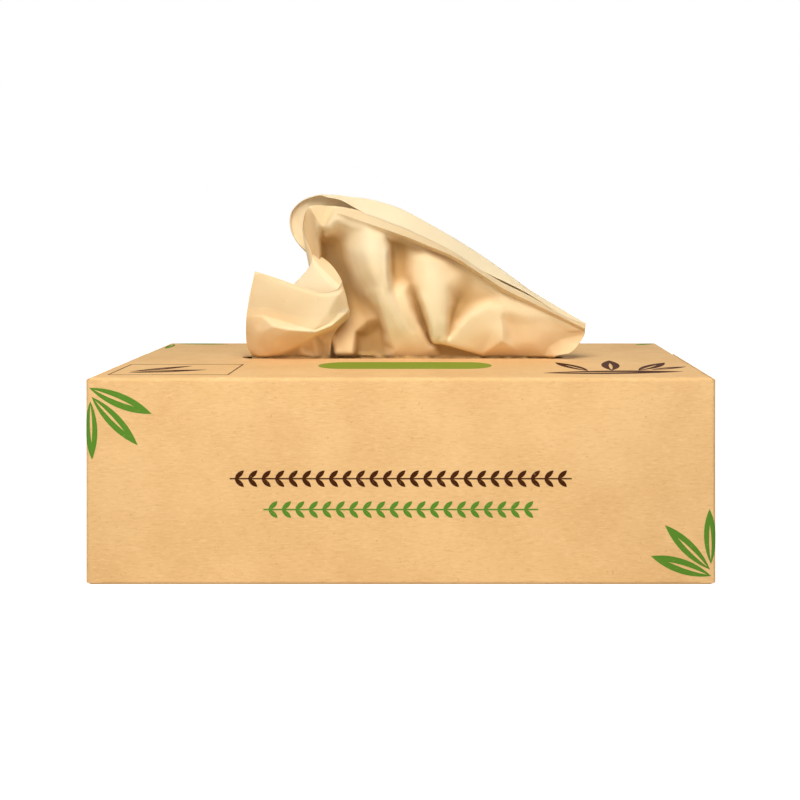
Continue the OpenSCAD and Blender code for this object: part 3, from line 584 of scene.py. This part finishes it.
# %% Add the foot that lies in the box
sheet_thickness = 0.3
neck_left = -62
neck_right = 60
even_x = neck_left + (neck_right - neck_left) * along / sheet_width
flat_x = (along - sheet_width / 2) * 0.96
foot_fold = stack_high[1] / MM - 3.6
# rows of the foot as distance in front of its fold, height in sheet thicknesses, and share gathered
foot_rows = [
    (74, 0.5, 0), (38, 0.5, 0), (4, 0.5, 0), (0.8, 0.6, 0), (0, 1.3, 0),
    (0.8, 2, 0), (4, 2.05, 0), (18, 2.1, 0.08), (32, 2.3, 0.32), (46, 3.4, 0.68),
]
# rows from there up to the slot as shares of the way across and up
rise_rows = [(0.35, 0.3), (0.75, 0.62)]
foot = []
for forward, level, gathered in foot_rows:
    row = np.zeros((len(along), 3))
    row[:, 0] = flat_x * (1 - gathered) + even_x * gathered
    row[:, 1] = foot_fold - forward
    row[:, 2] = stack_top - top_panel + level * sheet_thickness
    foot.append(row)
last_row = foot[-1]
for across, height in rise_rows:
    row = np.zeros((len(along), 3))
    row[:, 0] = even_x * (1 - across) + in_slot[:, 0] * across
    row[:, 1] = last_row[:, 1] * (1 - across) + in_slot[:, 1] * across
    row[:, 2] = last_row[:, 2] + (slot_entry - last_row[:, 2]) * height
    foot.append(row + gathers(across))
foot = np.transpose(np.array(foot), (1, 0, 2))
sheet = np.concatenate([foot, upper], axis=1)
sheet_fold = np.concatenate([np.zeros(foot.shape[:2]), fold], axis=1)
crotch += foot.shape[1]
print("whole sheet has", sheet.shape[1], "rows, and the back leaf", leaf.shape[1])

# %% [markdown]
# ## Thickness
# The real sheet is about a third of a millimetre thick. A Solidify modifier could thicken one surface,
# but it would leave a hole where the two leaves part. Here the outline of a cut through the sheet is walked
# round once, up the front, down between the leaves and down the back, so that the mesh is closed.

# %% Walk round the sheet at each step along it
def square_to(grid):
    """Direction square to the sheet at each point, towards the front."""
    a = np.gradient(grid, axis=0)
    b = np.gradient(grid, axis=1)
    n = np.cross(a, b)
    return n / np.maximum(np.linalg.norm(n, axis=2, keepdims=True), 1e-9)


half_sheet = sheet_thickness / 2
half_leaf = 0.1
sheet_square = square_to(sheet)
leaf_square = square_to(leaf)
rows = sheet.shape[1]
half = np.where(np.arange(rows) <= crotch, half_sheet, half_leaf)[None, :, None]
front = sheet + sheet_square * half
back = sheet - sheet_square * half
join = sheet[:, crotch:crotch + 1] - 0.2 * half_sheet * sheet_square[:, crotch:crotch + 1]
ring = np.concatenate([
    front,
    back[:, :crotch:-1],
    join,
    leaf[:, 1:] + leaf_square[:, 1:] * half_leaf,
    (leaf[:, 1:] - leaf_square[:, 1:] * half_leaf)[:, ::-1],
    back[:, crotch::-1],
], axis=1)
count = ring.shape[1]
points = ring.reshape(-1, 3) * MM + (0, 0, top_panel * MM)
print("each cut through the sheet has", count, "points")

# %% Painted shade on the whole walk: the leaves behind the front get the painted highlight of a crest
painted_crest_highlight = -2.6
rim_overlap = 8
ring_fold = np.zeros(ring.shape[:2])
ring_fold[:, :rows] = sheet_fold
ring_fold[:, rows + rim_overlap:] = painted_crest_highlight
print("deepest point of the sheet:", round(float(ring_fold.max()), 1), "mm")

# %% Faces of the walls and of the two ends
station = np.arange(along_steps)[:, None] * count
here = np.arange(count)[None, :]
following = (here + 1) % count
quads = np.stack([
    station + here, station + following, station + count + following, station + count + here,
], axis=2)
quads = quads.reshape(-1, 4)[:, ::-1]

join_at = rows + (rows - 1 - crotch)
far_at = join_at + 1
far_end = far_at + 2 * leaf_steps - 1
ends = []
for j in range(crotch):
    ends.append((j, j + 1, count - 2 - j, count - 1 - j))
for j in range(crotch + 1, rows - 1):
    ends.append((j, j + 1, 2 * rows - 2 - j, 2 * rows - 1 - j))
for j in range(leaf_steps - 1):
    ends.append((far_at + j, far_at + j + 1, far_end - 1 - j, far_end - j))
ends.append((crotch, crotch + 1, join_at - 1, join_at))
ends.append((crotch, join_at, count - 1 - crotch, count - 1 - crotch))
ends.append((join_at, far_at, far_end, count - 1 - crotch))
faces = [tuple(int(n) for n in quad) for quad in quads]
last = along_steps * count
for end in ends:
    corners = list(dict.fromkeys(end))
    faces.append(tuple(corners))
    faces.append(tuple(n + last for n in reversed(corners)))
print(len(quads), "faces in the walls and", 2 * len(ends), "in the ends")

# %% Make the mesh and shade it
tissue_mesh = bpy.data.meshes.new("drawn_tissue")
tissue_mesh.from_pydata(points.tolist(), [], faces)
tissue_mesh.update()
# the attribute carries painted shade for the dales and a painted highlight for the crests of the tissue's
# finish
depth_in_fold = tissue_mesh.attributes.new("fold", "FLOAT", "POINT")
depth_in_fold.data.foreach_set("value", ring_fold.reshape(-1).astype(np.float32))
tissue = bpy.data.objects.new("drawn_tissue", tissue_mesh)
bpy.context.scene.collection.objects.link(tissue)
bpy.ops.object.select_all(action="DESELECT")
tissue.select_set(True)
bpy.context.view_layer.objects.active = tissue
bpy.ops.object.mode_set(mode="EDIT")
bpy.ops.mesh.select_all(action="SELECT")
bpy.ops.mesh.normals_make_consistent(inside=False)
bpy.ops.object.mode_set(mode="OBJECT")
bpy.ops.object.shade_smooth_by_angle(angle=math.radians(60))
print("drawn tissue has", len(tissue_mesh.polygons), "faces")

# %% [markdown]
# ## Finishes
# Every finish is built from nodes on object coordinates, so it lies still on the piece from any side.
# The nodes could be placed by hand in the shader editor. A small class keeps each recipe short enough
# to read at one glance.

# %% Helpers for building a finish
def linear(r, g, b):
    """Turns a colour as seen on a screen, 0 to 255, into the light values that a shader takes."""
    out = []
    for value in (r, g, b):
        c = value / 255
        out.append(c / 12.92 if c <= 0.04045 else ((c + 0.055) / 1.055) ** 2.4)
    return (*out, 1)


class Finish:
    """A material with short ways to add and join its nodes."""

    def __init__(self, name):
        self.material = bpy.data.materials.new(name)
        self.material.use_nodes = True
        self.nodes = self.material.node_tree.nodes
        self.links = self.material.node_tree.links
        self.shader = self.nodes["Principled BSDF"]

    def add(self, kind, **settings):
        node = self.nodes.new(kind)
        for key, value in settings.items():
            setattr(node, key, value)
        return node

    def put(self, value, socket):
        """Joins a node's output to a socket, or sets a plain value on it."""
        if isinstance(value, bpy.types.NodeSocket):
            self.links.new(value, socket)
        else:
            socket.default_value = value

    def coordinates(self, scale=(1, 1, 1), turn=(0, 0, 0)):
        source = self.add("ShaderNodeTexCoord")
        mapping = self.add("ShaderNodeMapping")
        self.put(scale, mapping.inputs["Scale"])
        self.put(turn, mapping.inputs["Rotation"])
        self.put(source.outputs["Object"], mapping.inputs["Vector"])
        return mapping.outputs["Vector"]

    def noise(self, vector, scale, detail):
        node = self.add("ShaderNodeTexNoise")
        self.put(scale, node.inputs["Scale"])
        self.put(detail, node.inputs["Detail"])
        self.put(vector, node.inputs["Vector"])
        return node.outputs["Fac"]

    def ramp(self, value, low, high, start=0.0, end=1.0):
        """Goes from start to end as the value goes from low to high."""
        node = self.add("ShaderNodeMapRange", clamp=True)
        self.put(low, node.inputs["From Min"])
        self.put(high, node.inputs["From Max"])
        self.put(start, node.inputs["To Min"])
        self.put(end, node.inputs["To Max"])
        self.put(value, node.inputs["Value"])
        return node.outputs["Result"]

    def mix(self, share, first, second):
        """Mixes two colours. The node keeps its colour sockets at places 6 and 7."""
        node = self.add("ShaderNodeMix", data_type="RGBA")
        self.put(share, node.inputs[0])
        self.put(first, node.inputs[6])
        self.put(second, node.inputs[7])
        return node.outputs[2]

    def math(self, operation, first, second):
        node = self.add("ShaderNodeMath", operation=operation)
        self.put(first, node.inputs[0])
        self.put(second, node.inputs[1])
        return node.outputs[0]

    def surface(self, colour, roughness, specular):
        self.put(colour, self.shader.inputs["Base Color"])
        self.put(roughness, self.shader.inputs["Roughness"])
        self.put(specular, self.shader.inputs["Specular IOR Level"])

    def bump(self, height, distance, strength):
        node = self.add("ShaderNodeBump")
        self.put(distance, node.inputs["Distance"])
        self.put(strength, node.inputs["Strength"])
        self.put(height, node.inputs["Height"])
        self.put(node.outputs["Normal"], self.shader.inputs["Normal"])


def give(node_name, material):
    """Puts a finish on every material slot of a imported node."""
    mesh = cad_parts[node_name].data
    for i in range(len(mesh.materials)):
        mesh.materials[i] = material
    print(node_name, "has the finish", material.name)


# %% [markdown]
# ## Kraft board
# Unbleached board is a felt of short fibres, some lighter and some darker than the sheet, with soft
# clouds of tone and a few dark specks. A picture of board could be laid on it, but it would stretch and
# repeat. Noise that is stretched thin along one axis gives the fibres, and four turns of it lay them in
# several directions.

# %% Finish the carton
fibre_scale = (330, 1700, 1700)
fibre_turns = [(0.3, 0.5, 0.4), (0.9, 2.1, 1.9), (2, 1, 0.2), (1.4, 0.2, 2.7)]


def kraft_board():
    f = Finish("kraft_board")
    here = f.coordinates()
    cloud = f.noise(here, 45, 4)
    colour = f.mix(f.ramp(cloud, 0.35, 0.65), linear(229, 185, 127), linear(237, 195, 137))
    for turn in fibre_turns:
        fibre = f.noise(f.coordinates(fibre_scale, turn), 1, 1)
        colour = f.mix(f.ramp(fibre, 0.62, 0.74, 0, 0.22), colour, linear(204, 155, 97))
        colour = f.mix(f.ramp(fibre, 0.38, 0.26, 0, 0.3), colour, linear(246, 210, 156))
    speck = f.noise(here, 1000, 1)
    colour = f.mix(f.ramp(speck, 0.72, 0.80, 0, 0.4), colour, linear(176, 124, 72))
    f.surface(colour, roughness=0.85, specular=0.25)
    f.bump(f.noise(here, 1400, 3), distance=0.04 * MM, strength=0.4)
    return f.material


give("carton", kraft_board())

# %% [markdown]
# ## Tissue
# Soft unbleached tissue is matt and lets a little light through, so its dales glow warm and deep and its
# crests are pale. Light scattered over about half a millimetre gives the softness. One thin sheet of real
# paper shows more of this than a render of few bounces does, so the depth in a fold, kept on the mesh as
# an attribute, paints shade into the dales and a highlight onto the crests.

# %% Finish the pile and the drawn tissue
def soft_tissue(name, folded=False):
    f = Finish(name)
    here = f.coordinates()
    cloud = f.noise(here, 60, 2)
    colour = f.mix(f.ramp(cloud, 0.35, 0.65), linear(238, 209, 166), linear(244, 216, 174))
    if folded:
        depth = f.add("ShaderNodeAttribute", attribute_name="fold").outputs["Fac"]
        # painted shade in the dales, deepest where the fold attribute is high, then a painted highlight on
        # the crests
        colour = f.mix(f.ramp(depth, -0.5, 2.6, 0, 0.95), colour, linear(190, 153, 100))
        colour = f.mix(f.ramp(depth, -0.6, -2.6, 0, 0.6), colour, linear(254, 231, 194))
    speck = f.noise(here, 700, 1)
    colour = f.mix(f.ramp(speck, 0.72, 0.78, 0, 0.25), colour, linear(214, 180, 134))
    f.surface(colour, roughness=0.95, specular=0.1)
    f.put(0.5, f.shader.inputs["Subsurface Weight"])
    f.put((1.0, 1.0, 1.0), f.shader.inputs["Subsurface Radius"])
    f.put(0.6 * MM, f.shader.inputs["Subsurface Scale"])
    f.bump(f.noise(here, 1200, 2), distance=0.03 * MM, strength=0.4)
    return f.material


give("tissue_stack", soft_tissue("pile_tissue"))
tissue_mesh.materials.append(soft_tissue("drawn_tissue", folded=True))
print("the drawn tissue has the finish", tissue_mesh.materials[0].name)

# %% [markdown]
# ## Ink
# Ink printed on rough board is matt and thin, and the fibres that stand up between stay bare. A flat
# colour would look like a sticker, so fine noise lets the board show through in small places.

# %% Finish the printed fields
def printed_ink(name, colour):
    f = Finish(name)
    worn = f.noise(f.coordinates(), 1100, 3)
    shade = f.mix(f.ramp(worn, 0.62, 0.78, 0, 0.28), colour, linear(214, 170, 112))
    f.surface(shade, roughness=0.8, specular=0.08)
    return f.material


give("leaf_print", printed_ink("leaf_ink", linear(90, 138, 46)))
give("label_print", printed_ink("field_ink", linear(136, 154, 52)))
give("brown_print", printed_ink("dark_ink", linear(68, 32, 8)))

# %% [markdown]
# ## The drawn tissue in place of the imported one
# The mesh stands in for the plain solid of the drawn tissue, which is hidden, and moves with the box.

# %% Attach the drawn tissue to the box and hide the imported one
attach(tissue, "root")
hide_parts("pulled_tissue")

# %% [markdown]
# ## Floor and light
# The object was photographed on white, under one large soft light from above and the front. Enough
# light to make a floor white would bleach the object, so the floor glows a little for the camera alone.
# It still takes the box's soft shadow. The world does the same.

# %% Floor
floor_size = 12
floor_grey = 0.6
floor_glow = 0.93
bpy.ops.object.select_all(action="DESELECT")
bpy.ops.mesh.primitive_plane_add(size=floor_size, location=(0, 0, 0))
floor = bpy.context.active_object
floor.name = "floor"


def white_floor():
    f = Finish("white_floor")
    f.surface((floor_grey, floor_grey, floor_grey, 1), roughness=0.9, specular=0)
    light_path = f.add("ShaderNodeLightPath")
    seen = f.math("MAXIMUM", light_path.outputs["Is Camera Ray"], light_path.outputs["Is Glossy Ray"])
    seen = f.math("MAXIMUM", seen, light_path.outputs["Is Transmission Ray"])
    glow = f.add("ShaderNodeEmission")
    f.put((1, 1, 1, 1), glow.inputs["Color"])
    f.put(f.math("MULTIPLY", seen, floor_glow), glow.inputs["Strength"])
    both = f.add("ShaderNodeAddShader")
    f.put(f.shader.outputs[0], both.inputs[0])
    f.put(glow.outputs[0], both.inputs[1])
    f.put(both.outputs[0], f.nodes["Material Output"].inputs["Surface"])
    return f.material


floor.data.materials.append(white_floor())
print("floor of", floor_size, "m square")

# %% World
world_light = 0.17
world = bpy.data.worlds.new("studio")
bpy.context.scene.world = world
world.use_nodes = True
world_nodes = world.node_tree.nodes
world_links = world.node_tree.links
background = world_nodes["Background"]
background.inputs["Color"].default_value = (1, 1, 1, 1)
path = world_nodes.new("ShaderNodeLightPath")
mirrored = world_nodes.new("ShaderNodeMath")
mirrored.operation = "MAXIMUM"
world_links.new(path.outputs["Is Glossy Ray"], mirrored.inputs[0])
world_links.new(path.outputs["Is Transmission Ray"], mirrored.inputs[1])
seen = world_nodes.new("ShaderNodeMath")
seen.operation = "MAXIMUM"
world_links.new(path.outputs["Is Camera Ray"], seen.inputs[0])
world_links.new(mirrored.outputs[0], seen.inputs[1])
level = world_nodes.new("ShaderNodeMapRange")
level.inputs["To Min"].default_value = world_light
level.inputs["To Max"].default_value = 1.0
world_links.new(seen.outputs[0], level.inputs["Value"])
world_links.new(level.outputs["Result"], background.inputs["Strength"])
print("world lights the box with strength", world_light)


# %% Lamps
def soft_lamp(name, place, aim, size, power, colour=(1, 1, 1)):
    """A rectangular lamp at a place in metres, turned so that it shines at its aim."""
    data = bpy.data.lights.new(name, "AREA")
    data.shape = "RECTANGLE"
    data.size, data.size_y = size
    data.energy = power
    data.color = colour
    lamp = bpy.data.objects.new(name, data)
    bpy.context.scene.collection.objects.link(lamp)
    lamp.location = place
    way = np.array(aim, float) - np.array(place, float)
    flat = math.hypot(way[0], way[1])
    lamp.rotation_euler = (math.atan2(flat, -way[2]), 0, math.atan2(way[1], way[0]) - math.pi / 2)


warm_white = (1, 0.955, 0.89)
soft_lamp("key", (-0.04, -0.41, 0.5), (0, 0, 0.08), (0.4, 0.3), 3.6, warm_white)
soft_lamp("front", (-0.1, -1.3, 0.25), (0, 0, 0.07), (0.6, 0.4), 1.7)
soft_lamp("back", (0.3, 1.4, 0.8), (0, 0, 0.05), (0.8, 0.8), 2.4)

# %% [markdown]
# ## View
# The Standard view shows each colour about as it is written.

# %% View settings
bpy.context.scene.view_settings.view_transform = "Standard"
bpy.context.view_layer.update()
